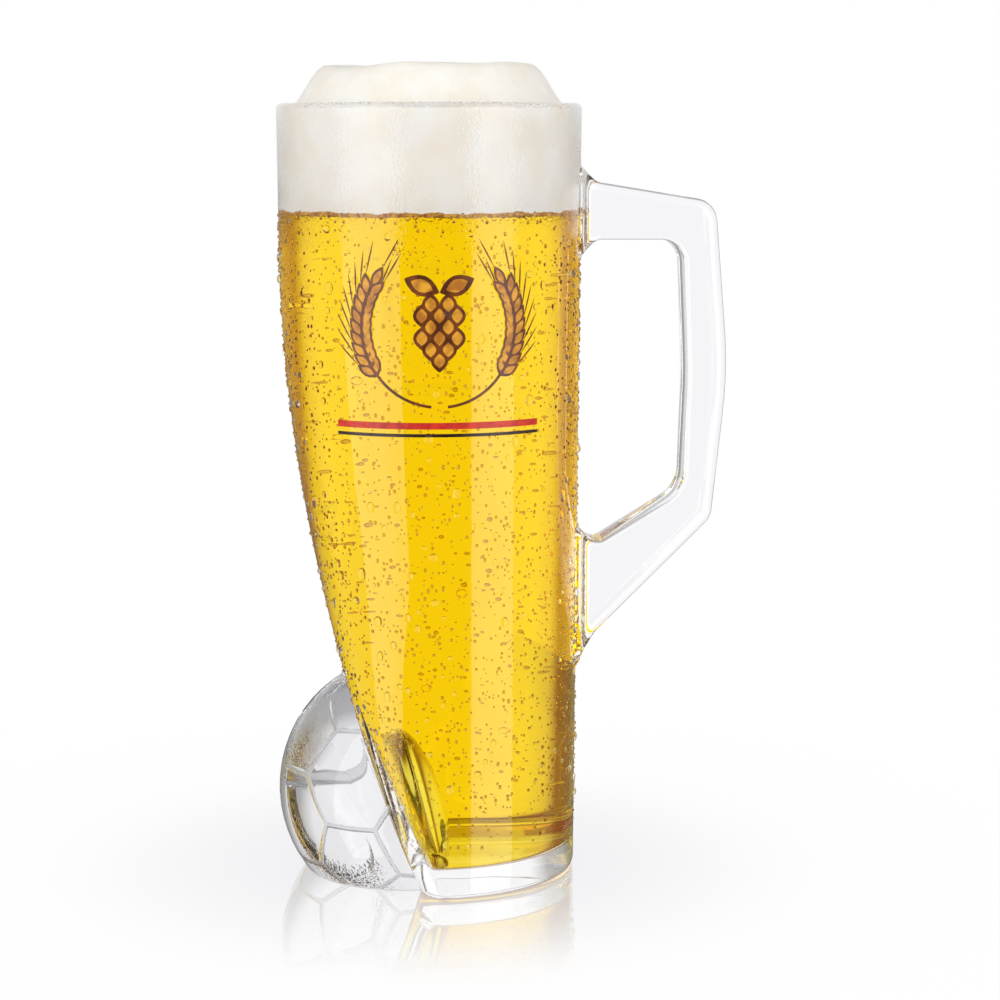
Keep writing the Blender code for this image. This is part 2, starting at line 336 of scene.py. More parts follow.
@dataclass(frozen=True)
class GlassFinish:
    """Soda-lime glass, pressed and fire polished: clear and hard, with a slow ripple from the mould.

    Cold air leaves a mist of fine drops on the outside, and a rough mould leaves a stipple. Both are a grain,
    drawn coarser than the real one so that it shows. What isn't clear scatters light, as frosted glass does.
    """

    name: str
    tint: str = "#fcfcff"
    roughness: float = 0.0
    clear: float = 1.0
    ior: float = 1.52
    mirror: str = "#ffffff"
    ripple_mm: float = 14.0
    ripple_height_mm: float = 0.05
    grain_mm: float = 0.0
    grain_height_mm: float = 0.0
    grain_fades_mm: float = -1.0
    grain_full_mm: float = 0.0

    def material(self) -> bpy.types.Material:
        """Builds the material.

        Returns:
            The glass.
        """
        material, tree, output = new_material(self.name)
        place = add_node(tree, "ShaderNodeTexCoord").outputs["Object"]
        ripple = add_node(
            tree, "ShaderNodeTexNoise", {"Vector": place, "Scale": 1.0 / (self.ripple_mm * MM), "Detail": 1.0}
        )
        bump = add_node(
            tree,
            "ShaderNodeBump",
            {"Height": ripple.outputs["Fac"], "Distance": self.ripple_height_mm * MM, "Strength": 1.0},
        )
        if self.grain_mm:
            bump = self.add_grain(tree, place, bump.outputs["Normal"])
        shader = add_node(
            tree,
            "ShaderNodeBsdfPrincipled",
            {
                "Base Color": linear(self.tint),
                "Roughness": self.roughness,
                "IOR": self.ior,
                "Transmission Weight": self.clear,
                "Specular Tint": linear(self.mirror),
                "Normal": bump.outputs["Normal"],
            },
        )
        tree.links.new(shader.outputs["BSDF"], output.inputs["Surface"])
        return material

    def add_grain(
        self, tree: bpy.types.NodeTree, place: bpy.types.NodeSocket, normal: bpy.types.NodeSocket
    ) -> bpy.types.Node:
        """Adds the grain of fine drops or of a stippled mould, which fades out at one height.

        Args:
            tree: the material's node tree.
            place: the coordinates.
            normal: the surface without the grain.

        Returns:
            The bump node with the grain.
        """
        cells = add_node(
            tree,
            "ShaderNodeTexVoronoi",
            {"Vector": place, "Scale": 1.0 / (self.grain_mm * MM), "Randomness": 1.0},
            feature="SMOOTH_F1",
        )
        height = add_node(tree, "ShaderNodeSeparateXYZ", {"Vector": place})
        share = add_node(
            tree,
            "ShaderNodeMapRange",
            {
                "Value": height.outputs["Z"],
                "From Min": self.grain_fades_mm * MM,
                "From Max": self.grain_full_mm * MM,
                "To Min": 0.0,
                "To Max": 1.0,
            },
        )
        return add_node(
            tree,
            "ShaderNodeBump",
            {
                "Height": cells.outputs["Distance"],
                "Distance": self.grain_height_mm * MM,
                "Strength": share.outputs["Result"],
                "Normal": normal,
            },
            invert=True,
        )


@dataclass(frozen=True)
class BeerFinish:
    """Pilsner: clear, with malt sugars that take out blue and some green, so that depth turns it golden."""

    name: str = "golden_pilsner"
    colour: str = "#fff726"
    density: float = 90.0
    ior: float = 1.34

    def material(self) -> bpy.types.Material:
        """Builds the material.

        Returns:
            The beer, its colour inside its volume.
        """
        material, tree, output = new_material(self.name)
        shader = add_node(
            tree,
            "ShaderNodeBsdfPrincipled",
            {
                "Base Color": WHITE,
                "Roughness": 0.0,
                "IOR": self.ior,
                "Transmission Weight": 1.0,
                "Specular Tint": BLACK,
            },
        )
        inside = add_node(
            tree, "ShaderNodeVolumeAbsorption", {"Color": linear(self.colour), "Density": self.density}
        )
        tree.links.new(shader.outputs["BSDF"], output.inputs["Surface"])
        tree.links.new(inside.outputs["Volume"], output.inputs["Volume"])
        return material


@dataclass(frozen=True)
class FoamFinish:
    """Beer foam: fine wet bubbles that scatter light like whipped cream, with pits where large ones burst.

    Its bubbles are drawn larger than most real ones, so that they show.
    """

    name: str = "beer_foam_bubbles"
    pale: str = "#f7f4ec"
    creamy: str = "#f3ece0"
    patch_mm: float = 9.0
    bubble_mm: float = 0.7
    bubble_height_mm: float = 0.12
    lump_mm: float = 4.0
    lump_height_mm: float = 0.25
    creamy_until: float = 0.35
    pale_from: float = 0.6
    bubble_strength: float = 0.6
    roughness: float = 0.55
    ior: float = 1.34
    scatter: float = 0.6
    scatter_mm: float = 1.5
    scatter_reach: tuple[float, float, float] = (1.0, 0.9, 0.75)

    def material(self) -> bpy.types.Material:
        """Builds the material.

        Returns:
            The foam.
        """
        material, tree, output = new_material(self.name)
        place = add_node(tree, "ShaderNodeTexCoord").outputs["Object"]
        patches = add_node(
            tree, "ShaderNodeTexNoise", {"Vector": place, "Scale": 1.0 / (self.patch_mm * MM), "Detail": 4.0}
        )
        stops = (self.creamy_until, linear(self.creamy)), (self.pale_from, linear(self.pale))
        colour = add_node(tree, "ShaderNodeValToRGB", {"Fac": patches.outputs["Fac"]}, stops)
        lumps = add_node(
            tree, "ShaderNodeTexNoise", {"Vector": place, "Scale": 1.0 / (self.lump_mm * MM), "Detail": 3.0}
        )
        bubbles = add_node(
            tree,
            "ShaderNodeTexVoronoi",
            {"Vector": place, "Scale": 1.0 / (self.bubble_mm * MM)},
            feature="SMOOTH_F1",
        )
        soft = add_node(
            tree, "ShaderNodeBump", {"Height": lumps.outputs["Fac"], "Distance": self.lump_height_mm * MM}
        )
        fine = add_node(
            tree,
            "ShaderNodeBump",
            {
                "Height": bubbles.outputs["Distance"],
                "Distance": self.bubble_height_mm * MM,
                "Strength": self.bubble_strength,
                "Normal": soft.outputs["Normal"],
            },
        )
        shader = add_node(
            tree,
            "ShaderNodeBsdfPrincipled",
            {
                "Base Color": colour.outputs["Color"],
                "Roughness": self.roughness,
                "IOR": self.ior,
                "Subsurface Weight": self.scatter,
                "Subsurface Radius": self.scatter_reach,
                "Subsurface Scale": self.scatter_mm * MM,
                "Normal": fine.outputs["Normal"],
            },
        )
        tree.links.new(shader.outputs["BSDF"], output.inputs["Surface"])
        return material


@dataclass(frozen=True)
class WaterFinish:
    """Dew on cold glass: clear water, drawn into smooth domes by its own skin, each a small bright lens."""

    name: str = "dew_water"
    tint: str = "#ffffff"
    ior: float = 1.333
    mirror: str = "#a8a8a8"

    def material(self) -> bpy.types.Material:
        """Builds the material.

        Returns:
            The water.
        """
        material, tree, output = new_material(self.name)
        shader = add_node(
            tree,
            "ShaderNodeBsdfPrincipled",
            {
                "Base Color": linear(self.tint),
                "Roughness": 0.0,
                "IOR": self.ior,
                "Transmission Weight": 1.0,
                "Specular Tint": linear(self.mirror),
            },
        )
        tree.links.new(shader.outputs["BSDF"], output.inputs["Surface"])
        return material


class PrintColour(Enum):
    """The print's enamels: each one's name, its colour where the film is thin, and where it is thick."""

    GOLD = ("gold_brown_enamel", "#e3a12a", "#b06c1a")
    BRONZE = ("bronze_brown_enamel", "#7d3f12", "#54280c")
    BRICK = ("brick_red_enamel", "#d8341f", "#b5201a")
    INK = ("black_brown_enamel", "#3a2012", "#22100a")


@dataclass(frozen=True)
class EnamelFinish:
    """Glass enamel, screen printed and fired: an opaque film with a soft gloss, uneven where it flowed."""

    colour: PrintColour
    roughness: float = 0.28
    ior: float = 1.5
    flow_mm: float = 3.0
    thick_until: float = 0.38
    thin_from: float = 0.62

    def material(self) -> bpy.types.Material:
        """Builds the material.

        Returns:
            The enamel.
        """
        name, thin, thick = self.colour.value
        material, tree, output = new_material(name)
        place = add_node(tree, "ShaderNodeTexCoord").outputs["Object"]
        flow = add_node(
            tree, "ShaderNodeTexNoise", {"Vector": place, "Scale": 1.0 / (self.flow_mm * MM), "Detail": 3.0}
        )
        stops = (self.thick_until, linear(thick)), (self.thin_from, linear(thin))
        colour = add_node(tree, "ShaderNodeValToRGB", {"Fac": flow.outputs["Fac"]}, stops)
        shader = add_node(
            tree,
            "ShaderNodeBsdfPrincipled",
            {"Base Color": colour.outputs["Color"], "Roughness": self.roughness, "IOR": self.ior},
        )
        tree.links.new(shader.outputs["BSDF"], output.inputs["Surface"])
        return material


@dataclass(frozen=True)
class TableFinish:
    """White acrylic sheet, polished: even and bright, with a mirror image that fades a hand's width away."""

    name: str = "white_acrylic"
    colour: str = "#f4f4f4"
    roughness: float = 0.02
    mirror_mm: tuple[float, float] = (30.0, 105.0)
    mirror: float = 0.5
    shade_mm: tuple[float, float] = (40.0, 200.0)
    shade: float = 0.06

    def material(self) -> bpy.types.Material:
        """Builds the material.

        Returns:
            The acrylic, which the camera sees as a white ground and which lights the mug as a matt one.
        """
        material, tree, output = new_material(self.name)
        place = add_node(tree, "ShaderNodeTexCoord").outputs["Object"]
        away = add_node(tree, "ShaderNodeVectorMath", {0: place}, operation="LENGTH").outputs["Value"]
        mirrored, shaded = [
            add_node(
                tree,
                "ShaderNodeMapRange",
                {"Value": away, "From Min": near * MM, "From Max": far * MM, "To Min": share, "To Max": 0.0},
                interpolation_type="SMOOTHSTEP",
            ).outputs["Result"]
            for (near, far), share in ((self.mirror_mm, self.mirror), (self.shade_mm, self.shade))
        ]
        white = add_node(tree, "ShaderNodeEmission", {"Color": WHITE, "Strength": 1.0}).outputs[0]
        matt = add_node(tree, "ShaderNodeBsdfDiffuse", {"Color": linear(self.colour)}).outputs[0]
        gloss = add_node(tree, "ShaderNodeBsdfGlossy", {"Color": WHITE, "Roughness": self.roughness})
        ground = add_node(tree, "ShaderNodeMixShader", {0: shaded, 1: white, 2: matt}).outputs[0]
        seen = add_node(tree, "ShaderNodeMixShader", {0: mirrored, 1: ground, 2: gloss.outputs[0]})
        by_camera = add_node(tree, "ShaderNodeLightPath").outputs["Is Camera Ray"]
        sheet = add_node(tree, "ShaderNodeMixShader", {0: by_camera, 1: matt, 2: seen.outputs[0]})
        tree.links.new(sheet.outputs[0], output.inputs["Surface"])
        return material


@dataclass
class Vessel:
    """The glass body: round at the rim, and further down a D whose flat leans in behind the football."""

    rim_height: float = 0.195
    rim_radius: float = 0.0382
    taper: float = 0.0015
    wall: float = 0.0028
    floor: float = 0.0072
    foot_round: float = 0.002
    floor_round: float = 0.0015
    lean_below_rim: float = 0.035
    flat_at_table: float = 0.0042
    lean_wall: float = 0.005
    corner_radius: float = 0.0056
    corner_least: float = 0.001
    corner_sharper: float = 1.6
    corner_high: float = 0.085
    bulge_height: float = 0.0205
    bulge_out: float = 0.0052
    bulge_tall: float = 0.0172
    bulge_wide: float = 0.020
    bulge_deep: float = 0.0044
    bulge_lean: float = 0.62
    bulge_segments: int = 64
    bulge_rings: int = 32
    beer_below_rim: float = 0.0263
    sides: int = 120
    rings: int = 60
    mouth_rings: int = 6
    arc_steps: int = 6
    flat_border: float = 0.0004

    @property
    def lip(self) -> float:
        """Radius of the half round lip."""
        return self.wall / 2.0

    @property
    def lean_start(self) -> float:
        """Height at which the lean begins, going down."""
        return self.rim_height - self.lean_below_rim

    @property
    def beer_line(self) -> float:
        """Height of the line between beer and foam."""
        return self.rim_height - self.beer_below_rim

    def outside_radius(self, z: float) -> float:
        """Radius of the round wall at one height."""
        return self.rim_radius - self.taper * (1.0 - z / self.rim_height)

    def lean_share(self, z: float) -> float:
        """How far the flat has come in: 0 where the lean starts and 1 at the table."""
        return max((self.lean_start - z) / self.lean_start, 0.0) ** 2

    def flat_distance(self, z: float) -> float:
        """Distance of the leaning flat from the axis at one height."""
        lean_depth = self.rim_radius - self.taper - self.flat_at_table
        return self.outside_radius(z) - lean_depth * self.lean_share(z)

    def wall_x(self, z: float) -> float:
        """Where the cavity's leaning wall crosses the XZ plane at one height."""
        return blend(self.wall, self.lean_wall, self.lean_share(z)) - self.flat_distance(z)

    def section(self, z: float, inset: float = 0.0, behind_flat: float = 0.0) -> Ring:
        """The D section at one height.

        Args:
            z: the height.
            inset: how far the section is set in from the outside.
            behind_flat: how much further it is set in from the flat.

        Returns:
            The section's points, spaced by the direction that the wall faces.
        """
        radius = self.outside_radius(z) - inset
        flat = self.flat_distance(z) - inset - behind_flat
        softness = smooth_step(0.0, self.corner_high, z)
        sharpest = max(self.corner_radius - self.corner_sharper * inset, self.corner_least)
        corner = blend(sharpest, flat, softness)
        corner_x = corner - flat
        corner_y = math.sqrt(max((radius - corner) ** 2 - corner_x**2, 0.0))
        round_until = math.atan2(corner_y, corner_x)
        points = []
        for step in range(self.sides):
            angle = math.tau * step / self.sides
            x, y = math.cos(angle), math.sin(angle)
            if min(angle, math.tau - angle) <= round_until:
                points.append(Vector((radius * x, radius * y, z)))
                continue
            side = 0.0 if 2 * step == self.sides else math.copysign(corner_y, y)
            points.append(Vector((corner_x + corner * x, side + corner * y, z)))
        return points

    def inner_section(self, z: float, inset: float = 0.0) -> Ring:
        """The cavity's wall at one height, set in by a distance. The glass is thicker behind the flat."""
        return self.section(z, self.wall + inset, (self.lean_wall - self.wall) * self.lean_share(z))

    def rounding(self, radius: float) -> list[tuple[float, float]]:
        """Steps along a quarter circle, from its flat end to just short of the wall.

        Args:
            radius: of the rounding.

        Returns:
            A rise and an inset for each step.
        """
        angles = [math.pi / 2.0 * step / self.arc_steps for step in range(self.arc_steps)]
        return [(radius * (1.0 - math.cos(a)), radius * (1.0 - math.sin(a))) for a in angles]

    def outer_rings(self) -> list[Ring]:
        """The outside, from the table up to where the lip begins.

        Returns:
            The sections in order.
        """
        rings = [self.section(rise, inset) for rise, inset in self.rounding(self.foot_round)]
        levels = heights(self.foot_round, self.rim_height - self.lip, self.rings)
        return rings + [self.section(z) for z in levels]

    def lip_rings(self) -> list[Ring]:
        """The half round lip between the outside and the cavity.

        Returns:
            The sections in order, without the first and the last of the half round.
        """
        rings = []
        for step in range(1, 2 * self.arc_steps):
            angle = math.pi * step / (2 * self.arc_steps)
            rise = Vector((0.0, 0.0, self.lip * math.sin(angle)))
            points = self.section(self.rim_height - self.lip, self.lip * (1.0 - math.cos(angle)))
            rings.append([point + rise for point in points])
        return rings

    def cavity_rings(self, inset: float = 0.0) -> list[Ring]:
        """The cavity's wall from its floor up to the beer line.

        Args:
            inset: how far the wall is set in from the glass.

        Returns:
            The sections in order.
        """
        floor = self.floor + inset
        corner = self.rounding(self.floor_round)
        rings = [self.inner_section(floor + rise, inset + more) for rise, more in corner]
        levels = heights(floor + self.floor_round, self.beer_line, self.rings)
        return rings + [self.inner_section(z, inset) for z in levels]

    def build(self, glass: bpy.types.Material, wetted: bpy.types.Material) -> bpy.types.Object:
        """Builds the body as one skin: outside, lip and cavity.

        Args:
            glass: the glass that meets air.
            wetted: the glass that meets beer.

        Returns:
            The body.
        """
        mouth = heights(self.beer_line, self.rim_height - self.lip, self.mouth_rings)[1:]
        inside = self.cavity_rings() + [self.inner_section(z) for z in mouth]
        body = skin("glass_body_form", self.outer_rings() + self.lip_rings() + inside[::-1])
        border_flats(body, self.flat_border)
        body.data.materials.append(glass)
        body.data.materials.append(wetted)
        for polygon in body.data.polygons:
            middle, normal = polygon.center, polygon.normal
            faces_in = normal.dot(Vector((middle.x, middle.y, 0.0))) < 0.0 or normal.z > FACES_UP
            if faces_in and self.floor - self.wall < middle.z < self.beer_line:
                polygon.material_index = 1
        return body

    def bulge(self, clearance: float = 0.0) -> bpy.types.Object:
        """The back of the ball, which swells into the cavity: an ovoid that rises along the leaning wall.

        Args:
            clearance: how much smaller than the swelling it is.

        Returns:
            The ovoid, its foot inside the floor's glass.
        """
        low, high = self.bulge_height - self.bulge_tall, self.bulge_height + self.bulge_tall
        lean = self.bulge_lean * math.atan2(self.wall_x(high) - self.wall_x(low), high - low)
        size = Vector((self.bulge_deep, self.bulge_wide, self.bulge_tall)) - Vector.Fill(3, clearance)
        middle = Matrix.Translation((self.wall_x(self.bulge_height) + self.bulge_out, 0.0, self.bulge_height))
        bpy.ops.object.select_all(action="DESELECT")
        bpy.ops.mesh.primitive_uv_sphere_add(
            segments=self.bulge_segments, ring_count=self.bulge_rings, radius=1.0
        )
        ovoid = bpy.context.active_object
        ovoid.name = ovoid.data.name = "bulge_form"
        ovoid.data.transform(middle @ Matrix.Rotation(lean, 4, "Y") @ Matrix.Diagonal((*size, 1.0)))
        return ovoid

    def seat(self, inset: float, below: float) -> bpy.types.Object:
        """A solid along the body's outside, which cuts the ball and the handle back.

        Args:
            inset: how far inside it lies, or outside where the number is negative.
            below: how far it runs on below the table.

        Returns:
            The solid.
        """
        levels = heights(0.0, self.rim_height - self.lip, self.rings)
        rings = [self.section(z, inset) for z in levels]
        foot = [point - Vector((0.0, 0.0, below)) for point in rings[0]]
        return skin("seat_form", [foot, *rings])


@dataclass
class Football:
    """The half football: twelve pentagons and twenty hexagons with sunk seams."""

    vessel: Vessel
    within_rim: float = 0.0044
    height: float = 0.0205
    sunk: float = 0.0066
    seam_width: float = 0.0016
    seam_depth: float = 0.0003
    seam_edge: float = 0.3
    seam_floor: float = 0.2
    seam_insets: tuple[float, ...] = (0.25, 0.3, 0.5)
    panel_cuts: int = 3
    turn: float = math.radians(-12.0)
    tilt: float = math.radians(3.9)
    tilt_towards: float = math.radians(59.0)
    foot_lift: float = 0.00015
    rough_left: float = -0.6
    rough_above: float = 0.25

    @property
    def radius(self) -> float:
        """Radius over the panels."""
        return self.vessel.rim_radius - self.within_rim

    def place(self) -> Matrix:
        """Where the ball sits and how it is turned.

        Returns:
            The ball's place.
        """
        middle = Vector((self.sunk - self.vessel.flat_distance(self.height), 0.0, self.height))
        axis = Vector((-math.sin(self.tilt_towards), math.cos(self.tilt_towards), 0.0))
        turned = Matrix.Rotation(self.tilt, 4, axis) @ Matrix.Rotation(self.turn, 4, "Z")
        return Matrix.Translation(middle) @ turned

    def seam_drop(self, ray: Vector, panels: Sequence[Vector]) -> float:
        """How deep the surface lies below the ball at one point.

        Args:
            ray: the unit vector from the ball's centre to the point.
            panels: each panel's normal over its distance from the centre.

        Returns:
            The depth, which is 0 away from the seams.
        """
        first, second = sorted(panels, key=ray.dot)[-1:-3:-1]
        apart = self.radius * (ray.dot(first) - ray.dot(second)) / (first - second).length
        half = self.seam_width / 2.0
        return self.seam_depth * (1.0 - smooth_step(self.seam_floor * half, half, apart))

    def is_rough(self, ray: Vector, panels: Sequence[Vector]) -> bool:
        """Says whether a point lies on a panel that the mould left rough, far left and above the middle.

        Args:
            ray: the unit vector from the ball's centre to the point.
            panels: each panel's normal over its distance from the centre.

        Returns:
            True on a rough panel.
        """
        panel = max(panels, key=ray.dot).normalized()
        facing = self.place().to_3x3() @ panel
        return facing.x < self.rough_left and facing.z > self.rough_above

    def build(
        self, plain: bpy.types.Material, stippled: bpy.types.Material, frosted: bpy.types.Material
    ) -> bpy.types.Object:
        """Builds the ball, cut flat at the table.

        Args:
            plain: the glass of smooth panels.
            stippled: the glass of panels that the mould left rough.
            frosted: the glass of the seams.

        Returns:
            The ball.
        """
        bpy.ops.object.select_all(action="DESELECT")
        bpy.ops.mesh.primitive_ico_sphere_add(subdivisions=1, radius=self.radius)
        ball = bpy.context.active_object
        ball.name = ball.data.name = "football_form"
        with editing(ball):
            bpy.ops.mesh.select_all(action="SELECT")
            # A third off both ends of every edge makes hexagons of the triangles, with pentagons between.
            bpy.ops.mesh.bevel(offset_type="PERCENT", offset_pct=100.0 / 3.0, affect="VERTICES", segments=1)
        panels = [p.normal / p.normal.dot(p.center) for p in ball.data.polygons]
        for finish in (plain, stippled, frosted):
            ball.data.materials.append(finish)
        with editing(ball):
            bpy.ops.mesh.select_mode(type="FACE")
            bpy.ops.mesh.select_all(action="SELECT")
            for share in self.seam_insets:
                width = self.seam_width * share
                bpy.ops.mesh.inset(thickness=width, use_individual=True, use_even_offset=True)
            bpy.ops.mesh.poke()
            bpy.ops.mesh.select_all(action="SELECT")
            bpy.ops.mesh.subdivide(number_cuts=self.panel_cuts)
        for vertex in ball.data.vertices:
            ray = vertex.co.normalized()
            vertex.co = ray * (self.radius - self.seam_drop(ray, panels))
        for polygon in ball.data.polygons:
            ray = polygon.center.normalized()
            in_seam = self.seam_drop(ray, panels) > self.seam_edge * self.seam_depth
            polygon.material_index = 2 if in_seam else int(self.is_rough(ray, panels))
        ball.data.transform(self.place())
        with editing(ball):
            bpy.ops.mesh.select_all(action="SELECT")
            bpy.ops.mesh.bisect(
                plane_co=(0.0, 0.0, self.foot_lift), plane_no=(0.0, 0.0, 1.0), use_fill=True, clear_inner=True
            )
            bpy.ops.mesh.select_all(action="SELECT")
            bpy.ops.mesh.normals_make_consistent(inside=False)
        return ball


@dataclass
class Handle:
    """The handle: a flat bar in the shape of a squared D.

    Each corner of its outline is given as its reach from the wall and its drop below the rim.
    """

    vessel: Vessel
    thickness: float = 0.015
    edge: float = 0.003
    inner_edge: float = 0.0015
    edge_steps: int = 5
    upper_arm_top: float = 0.0194
    shoulder: tuple[float, float] = (0.0339, 0.0244)
    grip_outside: tuple[float, float] = (0.0374, 0.0670)
    elbow: tuple[float, float] = (0.0334, 0.1048)
    lower_arm_underside: float = 0.1343
    lower_arm_top: float = 0.1114
    inner_elbow: tuple[float, float] = (0.0260, 0.0977)
    grip_inside: tuple[float, float] = (0.0269, 0.0680)
    inner_shoulder: tuple[float, float] = (0.0256, 0.0339)
    upper_arm_underside: float = 0.0338
    corner_round: float = 0.006
    elbow_round: float = 0.009
    grip_round: float = 0.110
    root_flare: float = 0.0035
    root_depth: float = 0.005
    underside_fall: float = 1.6
    arc_steps: int = 8
    flat_border: float = 0.0004
    root_fillet: float = 0.003
    fillet_steps: int = 6

    def corners(self) -> list[tuple[tuple[float, float], float]]:
        """The outline's corners with their roundings.

        Returns:
            Each corner and its radius, from the upper root over the grip and back round the finger gap.
        """
        run_in = self.root_flare + self.root_depth
        return [
            ((-self.root_depth, self.upper_arm_top - run_in), 0.0),
            ((self.root_flare, self.upper_arm_top), self.root_flare),
            (self.shoulder, self.corner_round),
            (self.grip_outside, self.grip_round),
            (self.elbow, self.corner_round),
            ((self.root_flare, self.lower_arm_underside), self.corner_round),
            ((-self.root_depth, self.lower_arm_underside + self.underside_fall * run_in), 0.0),
            ((-self.root_depth, self.lower_arm_top - run_in), 0.0),
            ((self.root_flare, self.lower_arm_top), self.root_flare),
            (self.inner_elbow, self.elbow_round),
            (self.grip_inside, self.grip_round),
            (self.inner_shoulder, self.corner_round),
            ((self.root_flare, self.upper_arm_underside), self.root_flare),
            ((-self.root_depth, self.upper_arm_underside + run_in), 0.0),
        ]

    def rounded(self, before: Vector, corner: Vector, after: Vector, radius: float) -> list[Vector]:
        """Rounds one corner of the outline.

        Args:
            before: the corner before it.
            corner: the corner.
            after: the corner after it.
            radius: of the rounding, where 0 leaves the corner sharp.

        Returns:
            The points that take the corner's place.
        """
        if not radius:
            return [corner]
        back, on = (before - corner).normalized(), (after - corner).normalized()
        half = back.angle(on) / 2.0
        middle = corner + (back + on).normalized() * (radius / math.sin(half))
        start = corner + back * (radius / math.tan(half)) - middle
        end = corner + on * (radius / math.tan(half)) - middle
        spokes = [start.lerp(end, step / self.arc_steps).normalized() for step in range(self.arc_steps + 1)]
        return [middle + spoke * radius for spoke in spokes]

    def outline(self) -> list[Vector]:
        """The outline in the handle's own plane.

        Returns:
            The points as (x, z), corners rounded.
        """
        places = []
        for (reach, drop), radius in self.corners():
            places.append((Vector((self.vessel.rim_radius + reach, self.vessel.rim_height - drop)), radius))
        points = []
        for step, (corner, radius) in enumerate(places):
            after = places[(step + 1) % len(places)][0]
            points += self.rounded(places[step - 1][0], corner, after, radius)
        return points

    def build(self, glass: bpy.types.Material) -> bpy.types.Object:
        """Builds the bar with its soft edges.

        Args:
            glass: the bar's glass.

        Returns:
            The bar, its roots still running into the wall.
        """
        points = self.outline()
        bpy.ops.object.select_all(action="DESELECT")
        bpy.ops.mesh.primitive_circle_add(vertices=len(points), radius=1.0)
        bar = bpy.context.active_object
        bar.name = bar.data.name = "handle_form"
        for vertex, point in zip(bar.data.vertices, points):
            vertex.co = (point.x, -self.thickness / 2.0, point.y)
        with editing(bar):
            bpy.ops.mesh.select_mode(type="VERT")
            bpy.ops.mesh.select_all(action="SELECT")
            bpy.ops.mesh.edge_face_add()
            bpy.ops.mesh.extrude_region_move(TRANSFORM_OT_translate={"value": (0.0, self.thickness, 0.0)})
            bpy.ops.mesh.select_all(action="SELECT")
            bpy.ops.mesh.normals_make_consistent(inside=False)
        self.weigh_edges(bar, points[len(points) // 2 :])
        bevel = bar.modifiers.new("soft edges", "BEVEL")
        bevel.width = self.edge
        bevel.segments = self.edge_steps
        bevel.limit_method = "WEIGHT"
        apply_modifiers(bar)
        border_flats(bar, self.flat_border)
        self.flare_roots(bar)
        bar.data.materials.append(glass)
        return bar

    def weigh_edges(self, bar: bpy.types.Object, inner: Sequence[Vector]) -> None:
        """Says how soft each long edge of the bar is: those round the finger gap are sharper.

        Args:
            bar: the bar, its edges still square.
            inner: the outline's points round the finger gap.
        """
        gap = {tuple(point) for point in inner}
        weights = bar.data.attributes.new("bevel_weight_edge", "FLOAT", "EDGE")
        for edge, weight in zip(bar.data.edges, weights.data):
            ends = [bar.data.vertices[index].co for index in edge.vertices]
            if ends[0].y * ends[1].y > 0.0:
                by_gap = all((end.x, end.z) in gap for end in ends)
                weight.value = self.inner_edge / self.edge if by_gap else 1.0

    def flare_roots(self, bar: bpy.types.Object) -> None:
        """Widens the bar's front and back where its roots meet the wall, in a rounded fillet.

        Args:
            bar: the bar.
        """
        wall = math.sqrt(self.vessel.rim_radius**2 - (self.thickness / 2.0) ** 2)
        for step in range(self.fillet_steps + 1):
            reach = self.root_fillet * (1.0 - math.cos(math.pi / 2.0 * step / self.fillet_steps))
            with editing(bar):
                bpy.ops.mesh.select_all(action="SELECT")
                bpy.ops.mesh.bisect(plane_co=(wall + reach, 0.0, 0.0), plane_no=(1.0, 0.0, 0.0))
        for vertex in bar.data.vertices:
            left = 1.0 - max(vertex.co.x - wall, 0.0) / self.root_fillet
            if left > 0.0 and abs(vertex.co.y) > self.flat_border:
                spread = self.root_fillet * (1.0 - math.sqrt(1.0 - min(left, 1.0) ** 2))
                vertex.co.y += math.copysign(spread, vertex.co.y)


